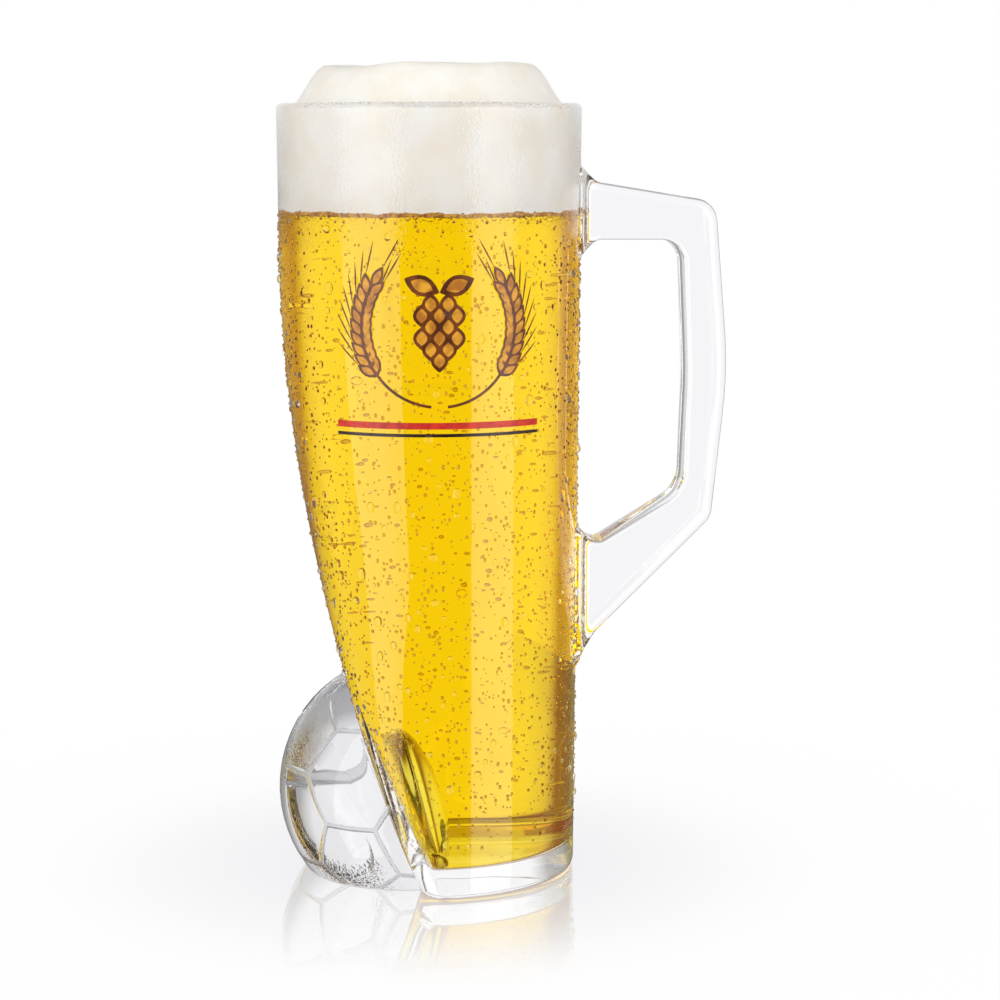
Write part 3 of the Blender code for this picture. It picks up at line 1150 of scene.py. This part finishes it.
@dataclass
class Glassware:
    """The glass: body and handle, which are one, and the football, which a hair of air parts from them."""

    vessel: Vessel
    football: Football
    handle: Handle
    seat_inset: float = 0.001
    ball_gap: float = 0.0002
    seat_below: float = 0.020
    crease_degrees: float = 38.0
    mist_fades_mm: float = 12.0

    def build_body(self) -> bpy.types.Object:
        """Builds the body, with the swelling behind the ball fused to its cavity.

        Returns:
            The body.
        """
        line_mm = self.vessel.beer_line / MM
        # Mist over the foam, too fine for single drops: it breaks up the outline of what lies behind it.
        misted = GlassFinish(
            "misted_soda_lime_glass",
            grain_mm=0.55,
            grain_height_mm=0.1,
            grain_fades_mm=line_mm - self.mist_fades_mm,
            grain_full_mm=line_mm,
        ).material()
        # Beer against glass gives next to no reflection, so this side only lets light through.
        wetted = GlassFinish(
            "glass_wetted_by_beer", tint="#ffffff", mirror="#000000", ripple_height_mm=0.0
        ).material()
        body = self.vessel.build(misted, wetted)
        bulge = self.vessel.bulge()
        bulge.data.materials.append(misted)
        bulge.data.materials.append(wetted)
        for polygon in bulge.data.polygons:
            polygon.material_index = 1
        combine(body, bulge, Combine.FUSE)
        remove(bulge)
        return body

    def build_ball(self) -> bpy.types.Object:
        """Builds the ball and dresses its panels and seams.

        Returns:
            The ball.
        """
        # Thick pressed glass: a shade greyer than the wall, and pitted where the mould stood on its foot.
        pressed = GlassFinish(
            "pressed_soda_lime_glass",
            tint="#ededf0",
            grain_mm=0.7,
            grain_height_mm=0.05,
            grain_fades_mm=10.0,
            grain_full_mm=3.0,
        ).material()
        # The mould's stipple scatters what lies behind it into warm grey specks.
        stippled = GlassFinish(
            "stippled_soda_lime_glass", tint="#f6f3ee", roughness=0.05, grain_mm=0.5, grain_height_mm=0.022
        ).material()
        # Sunk seams keep the mould's matt surface, so they show as pale lines.
        frosted = GlassFinish(
            "frosted_soda_lime_glass", tint="#d4d4d8", roughness=0.22, clear=0.75
        ).material()
        return self.football.build(pressed, stippled, frosted)

    def build(self) -> None:
        """Builds the three forms, fuses the handle to the body, seats the ball and adds both pieces."""
        # Fire polish melts the handle's skin smooth, so it gives sharp, clear reflections.
        bare = GlassFinish("fire_polished_soda_lime_glass").material()
        # The ball's seat is clear glass tinted dark grey, so that it lets only part of the beer's colour into
        # the ball: painted shade where the ball meets the body.
        ground = GlassFinish("seat_glass_painted_shade", tint="#74747a").material()
        glass, ball, bar = self.build_body(), self.build_ball(), self.handle.build(bare)
        for form, inset, finish in ((ball, -self.ball_gap, ground), (bar, self.seat_inset, bare)):
            seat = self.vessel.seat(inset, self.seat_below)
            seat.data.materials.append(finish)
            combine(form, seat, Combine.CUT)
            remove(seat)
        combine(glass, bar, Combine.FUSE)
        remove(bar)
        glass.name = glass.data.name = "mug_glass"
        ball.name = ball.data.name = "glass_football"
        smooth(glass, self.crease_degrees)
        smooth(ball, self.crease_degrees)
        add_piece(glass, "clear_glass", "glass_body", "handle")
        add_piece(ball, "ball_glass", "football")


@dataclass
class Drink:
    """The beer and its foam head."""

    vessel: Vessel
    beer_contact: float = 0.00010
    foam_contact: float = 0.00015
    foam_rise: float = 0.0120
    shoulder: float = 0.28
    plug_rings: int = 8
    dome_rings: int = 22
    lump: float = 0.10
    lump_share: float = 0.6
    broad_across: tuple[float, float] = (4.1, 0.4)
    broad_along: tuple[float, float] = (3.1, 0.9)
    fine: tuple[float, float, float] = (7.3, -2.2, 1.7)
    fine_share: float = 0.6
    collar: float = 0.0010
    collar_wave: float = 0.0004
    collar_waves: tuple[tuple[float, float], ...] = ((9.0, 0.3), (23.0, 1.9), (41.0, 4.0))
    collar_twist: float = 40.0
    waves_to_plug: float = 3.0
    beer_crease_degrees: float = 40.0
    foam_crease_degrees: float = 60.0

    def build_beer(self) -> None:
        """Builds the beer. It reaches a hair into the glass, so that no air shows between them."""
        beer = skin("golden_beer", self.vessel.cavity_rings(-self.beer_contact))
        border_flats(beer, self.vessel.flat_border)
        finish = BeerFinish().material()
        beer.data.materials.append(finish)
        bulge = self.vessel.bulge(self.beer_contact)
        bulge.data.materials.append(finish)
        combine(beer, bulge, Combine.CUT)
        remove(bulge)
        smooth(beer, self.beer_crease_degrees)
        add_piece(beer, "golden_beer", "beer")

    def dome(self, share: float, angle: float) -> float:
        """Height of the foam over the rim.

        Args:
            share: of the mouth's radius, from the axis.
            angle: round the axis.

        Returns:
            The height.
        """
        rise = smooth_step(0.0, self.shoulder, 1.0 - share)
        x, y = share * math.cos(angle), share * math.sin(angle)
        across = math.sin(self.broad_across[0] * x + self.broad_across[1])
        along = math.cos(self.broad_along[0] * y + self.broad_along[1])
        fine = math.sin(self.fine[0] * x + self.fine[1] * y + self.fine[2])
        lumps = across * along + self.fine_share * fine
        return self.foam_rise * rise * (1.0 - self.lump + self.lump * self.lump_share * lumps)

    def ripple(self, angle: float) -> float:
        """An uneven wave round the mouth, between -1 and 1."""
        waves = [math.sin(count * angle + phase) for count, phase in self.collar_waves]
        return sum(waves) / len(waves)

    def build_foam(self) -> None:
        """Builds the foam: a plug in the mouth with a soft, uneven dome and a collar that beer has wetted."""
        line, top = self.vessel.beer_line, self.vessel.rim_height - self.vessel.lip
        plug = heights(line + self.waves_to_plug * self.collar_wave, top, self.plug_rings)
        levels = [line - self.collar, line, *plug]
        rings = [self.vessel.inner_section(z, -self.foam_contact) for z in levels]
        for ring in rings[:2]:
            for point in ring:
                angle = math.atan2(point.y, point.x) + self.collar_twist * point.z
                point.z += self.collar_wave * self.ripple(angle)
        for step in range(1, self.dome_rings + 1):
            share = 1.0 - step / (self.dome_rings + 1)
            ring = []
            for point in rings[len(levels) - 1]:
                angle = math.atan2(point.y, point.x)
                ring.append(Vector((point.x * share, point.y * share, top + self.dome(share, angle))))
            rings.append(ring)
        foam = skin("foam_head_froth", rings)
        foam.data.materials.append(FoamFinish().material())
        # Where beer soaks the foam, it shows as a thin amber line with dark and light beads.
        soaked = FoamFinish("beer_wetted_foam", pale="#e0aa48", creamy="#9c5c1a", patch_mm=1.2)
        foam.data.materials.append(soaked.material())
        for polygon in foam.data.polygons:
            if polygon.center.z < line:
                polygon.material_index = 1
        smooth(foam, self.foam_crease_degrees)
        add_piece(foam, "beer_foam", "foam_head")

    def build(self) -> None:
        """Builds beer and foam."""
        self.build_beer()
        self.build_foam()


@dataclass
class Ornament:
    """The print: two barley ears round a hop cone, over two rules.

    It is laid out flat, in metres from the print's middle, and then wrapped round the wall.
    """

    vessel: Vessel
    middle: float = 0.1415
    wreath: float = 0.0190
    stem_from: float = math.radians(-84.0)
    stem_to: float = math.radians(30.0)
    stem_width: float = 0.0007
    grains: int = 9
    grains_from: float = math.radians(-38.0)
    grain: tuple[float, float] = (0.0060, 0.0027)
    grain_spread: float = math.radians(27.0)
    awn: tuple[float, float] = (0.0085, 0.0004)
    awn_spread: float = math.radians(9.0)
    cone_rows: tuple[int, ...] = (2, 3, 2, 3, 2, 1)
    cone_top: float = 0.0085
    cone_row_drop: float = 0.0027
    cone_scale: tuple[float, float] = (0.0056, 0.0042)
    leaf: tuple[float, float] = (0.0090, 0.0050)
    leaf_spread: float = math.radians(68.0)
    light_share: float = 0.62
    rule_half: float = 0.0265
    red_rule: tuple[float, float] = (-0.0235, 0.0016)
    dark_rule: tuple[float, float] = (-0.0258, 0.0008)
    awn_root: float = 0.9
    leaf_points: int = 16
    band_steps: int = 48
    path_step: float = 0.001
    film: float = 0.00004
    lift: float = 0.00003
    crease_degrees: float = 40.0
    shapes: dict[PrintColour, list[bpy.types.Object]] = field(default_factory=dict)

    def leaf_shape(self, size: tuple[float, float]) -> bpy.types.Object:
        """A flat pointed oval that lies along +Y from the origin.

        Args:
            size: its length and width.

        Returns:
            The oval.
        """
        bpy.ops.object.select_all(action="DESELECT")
        bpy.ops.mesh.primitive_circle_add(vertices=self.leaf_points, radius=1.0, fill_type="TRIFAN")
        oval = bpy.context.active_object
        with editing(oval):
            bpy.ops.mesh.select_all(action="SELECT")
            bpy.ops.mesh.subdivide(number_cuts=1)
        for vertex in oval.data.vertices:
            x, y, _ = vertex.co
            pinch = math.sqrt(max(1.0 - y * y, 0.0))
            vertex.co = (size[1] / 2.0 * x * pinch, size[0] / 2.0 * (1.0 + y), 0.0)
        return oval

    def lay(
        self, model: bpy.types.Object, colour: PrintColour, place: Vector, turn: float, layer: int = 0
    ) -> None:
        """Lays a copy of a shape into the print.

        Args:
            model: the shape.
            colour: its enamel.
            place: where its root goes.
            turn: how far it is turned.
            layer: how many films lie under it.
        """
        root = Matrix.Translation((place.x, place.y, layer * self.film))
        copy = lay_copy(model, root @ Matrix.Rotation(turn, 4, "Z"))
        self.shapes.setdefault(colour, []).append(copy)

    def lay_leaf(self, size: tuple[float, float], place: Vector, turn: float, layer: int = 0) -> None:
        """Lays a dark pointed oval with a smaller, lighter one on it.

        Args:
            size: length and width of the dark one.
            place: its root.
            turn: how far it is turned.
            layer: how many films lie under it.
        """
        dark = self.leaf_shape(size)
        self.lay(dark, PrintColour.BRONZE, place, turn, layer)
        remove(dark)
        light = self.leaf_shape((size[0] * self.light_share, size[1] * self.light_share))
        inside = Matrix.Rotation(turn, 2) @ Vector((0.0, size[0] * (1.0 - self.light_share) / 2.0))
        self.lay(light, PrintColour.GOLD, place + inside, turn, layer + 1)
        remove(light)

    def lay_band(self, colour: PrintColour, path: Callable[[float], Vector], width: float) -> None:
        """Lays a thin band along a path.

        Args:
            colour: its enamel.
            path: gives the band's middle line, from 0 to 1.
            width: of the band.
        """
        bpy.ops.object.select_all(action="DESELECT")
        bpy.ops.mesh.primitive_grid_add(x_subdivisions=self.band_steps, y_subdivisions=1, size=2.0)
        band = bpy.context.active_object
        for vertex in band.data.vertices:
            share, side = (vertex.co.x + 1.0) / 2.0, vertex.co.y
            along = (path(share + self.path_step) - path(share - self.path_step)).normalized()
            point = path(share) + Vector((-along.y, along.x)) * (side * width / 2.0)
            vertex.co = (point.x, point.y, 0.0)
        self.shapes.setdefault(colour, []).append(band)

    def lay_ear(self, side: float) -> None:
        """Lays one barley ear: its stem, its grains in pairs and their awns.

        Args:
            side: -1 for the left ear and 1 for the right one.
        """

        def stem(share: float) -> Vector:
            """The stem's middle line, from its root to its tip."""
            angle = blend(self.stem_from, self.stem_to, share)
            return Vector((side * math.cos(angle), math.sin(angle))) * self.wreath

        self.lay_band(PrintColour.BRONZE, stem, self.stem_width)
        awn = self.leaf_shape(self.awn)
        for step in range(self.grains + 1):
            angle = blend(self.grains_from, self.stem_to, step / self.grains)
            root = Vector((side * math.cos(angle), math.sin(angle))) * self.wreath
            turn = side * angle
            leans = (0.0,) if step == self.grains else (-1.0, 1.0)
            for lean in leans:
                grain_turn = turn + lean * self.grain_spread
                tip = root + Matrix.Rotation(grain_turn, 2) @ Vector((0.0, self.grain[0] * self.awn_root))
                self.lay(awn, PrintColour.BRONZE, tip, turn + lean * self.awn_spread)
                self.lay_leaf(self.grain, root, grain_turn, layer=1 + step)
        remove(awn)

    def lay_cone(self) -> None:
        """Lays the hop cone: rows of scales that hang over each other, under two leaves."""
        count = len(self.cone_rows)
        for row, scales in enumerate(self.cone_rows):
            for scale in range(scales):
                across = (scale - (scales - 1) / 2.0) * self.cone_scale[1]
                place = Vector((across, self.cone_top - row * self.cone_row_drop))
                self.lay_leaf(self.cone_scale, place, math.pi, layer=2 * (count - row))
        stalk = Vector((0.0, self.cone_top))
        for side in (-1.0, 1.0):
            self.lay_leaf(self.leaf, stalk, side * self.leaf_spread, layer=2 * count + 2)

    def wrap(self, place: Vector) -> Vector:
        """Takes a point of the flat layout to the wall.

        Args:
            place: across, up and out.

        Returns:
            The point on the wall.
        """
        z = self.middle + place.y
        radius = self.vessel.outside_radius(z)
        bend = radius if place.x > 0.0 else self.vessel.flat_distance(z)
        angle, reach = place.x / bend, bend + self.lift + place.z
        return Vector((reach * math.sin(angle), bend - radius - reach * math.cos(angle), z))

    def build(self) -> None:
        """Builds the print, one piece for each enamel."""
        for side in (-1.0, 1.0):
            self.lay_ear(side)
        self.lay_cone()
        rules = ((PrintColour.BRICK, self.red_rule), (PrintColour.INK, self.dark_rule))
        for colour, (height, width) in rules:
            ends = Vector((-self.rule_half, height)), Vector((self.rule_half, height))
            self.lay_band(colour, lambda share, ends=ends: ends[0].lerp(ends[1], share), width)
        for colour, shapes in self.shapes.items():
            film = join(shapes, f"print_{colour.name.lower()}")
            for vertex in film.data.vertices:
                vertex.co = self.wrap(vertex.co)
            solid = film.modifiers.new("film", "SOLIDIFY")
            solid.thickness = self.film
            solid.offset = 1.0
            apply_modifiers(film)
            film.data.materials.clear()
            film.data.materials.append(EnamelFinish(colour).material())
            smooth(film, self.crease_degrees)
            add_piece(film, None)


@dataclass
class Dew:
    """The drops that cold glass gathers on the outside of the body, clear of the football."""

    vessel: Vessel
    football: Football
    seed: int = 11
    large: int = 420
    small: int = 7500
    large_radius: tuple[float, float] = (0.0005, 0.0012)
    small_radius: tuple[float, float] = (0.00019, 0.0005)
    large_flatness: float = 0.75
    small_flatness: float = 1.0
    large_faces: tuple[int, int] = (12, 8)
    small_faces: tuple[int, int] = (8, 4)
    stretches: tuple[float, float] = (0.85, 1.5)
    ball_room: float = 2.0
    dry_behind: float = 0.25
    back_share: float = 0.35
    sunk: float = 0.00003
    lowest: float = 0.012
    cells: dict[tuple[int, int, int], list[tuple[Vector, float]]] = field(default_factory=dict)
    cell: float = 0.004
    crease_degrees: float = 60.0

    def model(self, segments: int, rings: int) -> bpy.types.Object:
        """One drop: a closed dome of unit radius and height, steep at its rim.

        Args:
            segments: faces round the drop.
            rings: faces of the whole ball from pole to pole.

        Returns:
            The drop, base down.
        """
        bpy.ops.object.select_all(action="DESELECT")
        bpy.ops.mesh.primitive_uv_sphere_add(segments=segments, ring_count=rings, radius=1.0)
        drop = bpy.context.active_object
        with editing(drop):
            bpy.ops.mesh.select_all(action="SELECT")
            bpy.ops.mesh.bisect(
                plane_co=(0.0, 0.0, 0.0), plane_no=(0.0, 0.0, 1.0), use_fill=True, clear_inner=True
            )
            bpy.ops.mesh.select_all(action="SELECT")
            bpy.ops.mesh.normals_make_consistent(inside=False)
        return drop

    def spot(self, draw: random.Random) -> tuple[Vector, Vector]:
        """A random place on the outside of the body.

        Args:
            draw: the source of random numbers.

        Returns:
            The place and the direction that the wall faces there.
        """
        z = draw.uniform(self.lowest, self.vessel.beer_line)
        step = draw.randrange(self.vessel.sides)
        share = draw.random()
        ring = self.vessel.section(z)
        above = self.vessel.section(z + MM)
        after = (step + 1) % self.vessel.sides
        place = ring[step].lerp(ring[after], share)
        across = ring[after] - ring[step]
        up = above[step].lerp(above[after], share) - place
        return place, across.cross(up).normalized()

    def free(self, place: Vector, radius: float) -> bool:
        """Says whether a drop has room at a place, and books the place if so.

        Args:
            place: the drop's place.
            radius: the drop's radius.

        Returns:
            True if no other drop is in the way.
        """
        home = tuple(math.floor(value / self.cell) for value in place)
        for x in (-1, 0, 1):
            for y in (-1, 0, 1):
                for z in (-1, 0, 1):
                    near = self.cells.get((home[0] + x, home[1] + y, home[2] + z), [])
                    if any((place - other).length < radius + room for other, room in near):
                        return False
        self.cells.setdefault(home, []).append((place, radius))
        return True

    def drop(self, draw: random.Random, radii: tuple[float, float], flatness: float) -> Matrix | None:
        """Draws one drop.

        Args:
            draw: the source of random numbers.
            radii: the least and the largest radius.
            flatness: the drop's height over its radius.

        Returns:
            Where it stands, how it is turned and how large it is, or None where there is no room for it.
        """
        place, facing = self.spot(draw)
        if facing.y > self.dry_behind and draw.random() > self.back_share:
            return None
        radius = blend(*radii, draw.random() ** 2)
        stretch = draw.uniform(*self.stretches)
        from_ball = (place - self.football.place().translation).length - self.football.radius
        if from_ball < self.ball_room * radius or not self.free(place, radius * stretch):
            return None
        size = Matrix.Diagonal((radius, radius * stretch, radius * flatness, 1.0))
        turned = facing.to_track_quat("Z", "Y").to_matrix().to_4x4()
        return Matrix.Translation(place - facing * self.sunk) @ turned @ size

    def build(self) -> None:
        """Builds the drops as one piece."""
        draw = random.Random(self.seed)
        # Drops too small to show a clear image are drawn duller, by a warm grey tint like that of what they
        # blur: painted shade for the light that they scatter away.
        mist = WaterFinish("dew_mist_painted_shade", tint="#dcc8bc")
        kinds = (
            (self.large_faces, WaterFinish(), self.large, self.large_radius, self.large_flatness),
            (self.small_faces, mist, self.small, self.small_radius, self.small_flatness),
        )
        drops = []
        for faces, finish, count, radii, flatness in kinds:
            model = self.model(*faces)
            model.data.materials.append(finish.material())
            for _ in range(count):
                place = self.drop(draw, radii, flatness)
                if place is not None:
                    drops.append(lay_copy(model, place))
            remove(model)
        dew = join(drops, "dew_drops")
        smooth(dew, self.crease_degrees)
        add_piece(dew, None)


@dataclass
class Studio:
    """White table, two tall soft boxes, grey flags round a white backdrop, and the camera.

    The flags are what glass shows, by the angle from the backdrop or from straight up. Each of their stops is
    an angle in degrees with a grey, or with red, green and blue.
    """

    lens_mm: float = 92.45
    sensor_mm: float = 36.0
    eye: tuple[float, float, float] = (-0.03898, -0.64907, 0.1873)
    pitch: float = math.radians(8.10)
    heading: float = math.radians(-5.0)
    table_size: float = 6.0
    room_light: float = 0.65
    light_through_glass: float = 1.2
    box_distance: float = 1.0
    box_height: float = 2.4
    left_box: tuple[float, float] = (22.0, 68.0)
    right_box: tuple[float, float] = (31.0, 66.0)
    box_radiance: float = 1.6
    clip_start: float = 0.01
    bounces: int = 32
    faces_of_clear_glass: int = 4
    through_glass: Stops = (
        (0.0, 1.0),
        (36.0, 1.0),
        (46.0, 0.5),
        (62.0, 0.5),
        (74.0, 0.22),
        (110.0, 0.25),
        (140.0, 0.5),
    )
    through_beer: Stops = (
        (0.0, 1.0),
        (25.0, 1.0),
        (33.0, 0.82, 0.75, 0.7),
        (39.0, 0.36, 0.2, 0.12),
        (54.0, 0.33, 0.2, 0.16),
        (64.0, 0.6, 0.55, 0.52),
        (78.0, 1.0),
    )
    under_beer: Stops = ((0.0, 1.0), (118.0, 1.0), (126.0, 0.3, 0.2, 0.12))
    mirrored_sides: Stops = ((36.0, 0.1), (60.0, 0.1), (75.0, 0.5), (140.0, 0.5), (150.0, 0.03))
    mirrored_above: Stops = ((0.0, 0.8, 0.79, 0.83), (28.0, 0.8, 0.79, 0.83))
    mirrored_below: Stops = ((0.0, 0.8, 0.79, 0.83), (7.0, 0.8, 0.79, 0.83), (11.0, 0.15), (28.0, 0.15))
    horizon: Stops = ((0.0, 0.0), (89.0, 0.0), (92.0, 1.0))

    def build_camera(self) -> None:
        """Adds the camera where the photographer stood."""
        rotation = (math.pi / 2.0 - self.pitch, 0.0, self.heading)
        bpy.ops.object.camera_add(location=self.eye, rotation=rotation)
        camera = bpy.context.active_object
        camera.data.lens = self.lens_mm
        camera.data.sensor_width = self.sensor_mm
        camera.data.clip_start = self.clip_start
        bpy.context.scene.camera = camera

    def build_box(self, name: str, span: tuple[float, float], side: float) -> None:
        """Adds one soft box.

        Args:
            name: the lamp's name.
            span: the angles from the camera's direction between which it stands, in degrees.
            side: -1 for the left and 1 for the right.
        """
        middle, half = math.radians(sum(span) / 2.0), math.radians((span[1] - span[0]) / 2.0)
        towards = math.atan2(self.eye[1], self.eye[0]) + side * middle
        place = Vector((math.cos(towards), math.sin(towards), 0.0)) * self.box_distance
        bpy.ops.object.light_add(type="AREA", location=place)
        lamp = bpy.context.active_object
        lamp.name = lamp.data.name = name
        lamp.rotation_mode = "QUATERNION"
        lamp.rotation_quaternion = (-place).to_track_quat("-Z", "Y")
        lamp.data.shape = "RECTANGLE"
        lamp.data.size = 2.0 * self.box_distance * math.tan(half)
        lamp.data.size_y = self.box_height
        lamp.data.energy = self.box_radiance * math.pi * lamp.data.size * lamp.data.size_y

    def build_table(self) -> None:
        """Adds the table. Rays that glass mirrors or lets through pass it by and show the room instead."""
        bpy.ops.object.select_all(action="DESELECT")
        bpy.ops.mesh.primitive_plane_add(size=self.table_size)
        table = bpy.context.active_object
        table.name = "table"
        table.visible_glossy = False
        table.visible_transmission = False
        table.data.materials.append(TableFinish().material())

    @staticmethod
    def flags(tree: bpy.types.NodeTree, towards: Vector, *ramps: Stops) -> list[bpy.types.NodeSocket]:
        """Adds flags by the angle between a ray and one direction.

        Args:
            tree: the world's node tree.
            towards: the direction.
            ramps: the stops of each set of flags.

        Returns:
            The colour of each set.
        """
        ray = add_node(tree, "ShaderNodeTexCoord").outputs["Generated"]
        facing = add_node(tree, "ShaderNodeVectorMath", {0: ray, 1: towards}, operation="DOT_PRODUCT")
        angle = add_node(tree, "ShaderNodeMath", {0: facing.outputs["Value"]}, operation="ARCCOSINE")
        share = add_node(
            tree, "ShaderNodeMath", {0: angle.outputs[0], 1: 1.0 / math.pi}, operation="MULTIPLY"
        )
        colours = []
        for stops in ramps:
            places = [(degrees / HALF_TURN_DEGREES, (*(light * 3)[:3], 1.0)) for degrees, *light in stops]
            ramp = add_node(tree, "ShaderNodeValToRGB", {"Fac": share.outputs[0]}, places)
            colours.append(ramp.outputs["Color"])
        return colours

    def glass_light(self, tree: bpy.types.NodeTree, path: bpy.types.Node) -> bpy.types.NodeSocket:
        """Adds what glass shows of the room: its reflections, and what it and the beer in it let through.

        Args:
            tree: the world's node tree.
            path: the light path of the ray.

        Returns:
            The colour of a reflected or refracted ray.
        """
        back = Vector((-self.eye[0], -self.eye[1], 0.0)).normalized()
        clear, golden, above, below = self.flags(
            tree,
            back,
            self.through_glass,
            self.through_beer,
            self.mirrored_above + self.mirrored_sides,
            self.mirrored_below + self.mirrored_sides,
        )
        floor_flag, downward = self.flags(tree, Vector((0.0, 0.0, 1.0)), self.under_beer, self.horizon)
        mirrored = add_node(
            tree, "ShaderNodeMix", {"Factor": downward, COLOUR_A: above, COLOUR_B: below}, data_type="RGBA"
        )
        flagged = add_node(
            tree,
            "ShaderNodeMix",
            {"Factor": 1.0, COLOUR_A: golden, COLOUR_B: floor_flag},
            data_type="RGBA",
            blend_type="MULTIPLY",
        )
        # A ray that has crossed more faces than clear glass has must have gone through beer.
        filled = add_node(
            tree,
            "ShaderNodeMath",
            {0: path.outputs["Transmission Depth"], 1: self.faces_of_clear_glass + HALF_COUNT},
            operation="GREATER_THAN",
        )
        through = add_node(
            tree,
            "ShaderNodeMix",
            {"Factor": filled.outputs[0], COLOUR_A: clear, COLOUR_B: flagged.outputs[MIXED]},
            data_type="RGBA",
        )
        bent = add_node(
            tree,
            "ShaderNodeMix",
            {
                "Factor": path.outputs["Is Transmission Ray"],
                COLOUR_A: mirrored.outputs[MIXED],
                COLOUR_B: through.outputs[MIXED],
            },
            data_type="RGBA",
        )
        return bent.outputs[MIXED]

    def build_world(self) -> None:
        """Sets the room: white to the camera, flags that only glass shows, and a plain level of light."""
        world = bpy.data.worlds.new("studio")
        bpy.context.scene.world = world
        world.use_nodes = True
        tree = world.node_tree
        tree.nodes.clear()
        path = add_node(tree, "ShaderNodeLightPath")
        by_camera, mirrored, through = [
            path.outputs[f"Is {kind} Ray"] for kind in ("Camera", "Glossy", "Transmission")
        ]
        shown = add_node(
            tree,
            "ShaderNodeMix",
            {"Factor": by_camera, COLOUR_A: self.glass_light(tree, path), COLOUR_B: WHITE},
            data_type="RGBA",
        )
        # The camera sees white and glass sees the flags. Matt surfaces take the plain level instead.
        seen = add_node(tree, "ShaderNodeMath", {0: by_camera, 1: mirrored}, operation="MAXIMUM")
        seen = add_node(tree, "ShaderNodeMath", {0: seen.outputs[0], 1: through}, operation="MAXIMUM")
        first = add_node(
            tree, "ShaderNodeMath", {0: path.outputs["Diffuse Depth"], 1: HALF_COUNT}, operation="LESS_THAN"
        )
        seen = add_node(
            tree, "ShaderNodeMath", {0: seen.outputs[0], 1: first.outputs[0]}, operation="MULTIPLY"
        )
        plain, raised = [(light, light, light, 1.0) for light in (self.room_light, self.light_through_glass)]
        level = add_node(
            tree, "ShaderNodeMix", {"Factor": through, COLOUR_A: plain, COLOUR_B: raised}, data_type="RGBA"
        )
        colour = add_node(
            tree,
            "ShaderNodeMix",
            {"Factor": seen.outputs[0], COLOUR_A: level.outputs[MIXED], COLOUR_B: shown.outputs[MIXED]},
            data_type="RGBA",
        )
        light = add_node(tree, "ShaderNodeBackground", {"Color": colour.outputs[MIXED], "Strength": 1.0})
        output = add_node(tree, "ShaderNodeOutputWorld")
        tree.links.new(light.outputs[0], output.inputs["Surface"])

    def build(self) -> None:
        """Builds the studio round the mug."""
        scene = bpy.context.scene
        scene.view_settings.view_transform = "Standard"
        scene.cycles.max_bounces = self.bounces
        scene.cycles.glossy_bounces = self.bounces
        scene.cycles.transmission_bounces = self.bounces
        self.build_camera()
        self.build_box("left_soft_box", self.left_box, -1.0)
        self.build_box("right_soft_box", self.right_box, 1.0)
        self.build_table()
        self.build_world()


def main() -> None:
    """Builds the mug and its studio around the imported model."""
    logging.basicConfig(level=logging.INFO, format="%(name)s: %(message)s")
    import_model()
    vessel = Vessel()
    football = Football(vessel)
    Glassware(vessel, football, Handle(vessel)).build()
    Drink(vessel).build()
    Ornament(vessel).build()
    Dew(vessel, football).build()
    Studio().build()


if __name__ == "__main__":
    main()
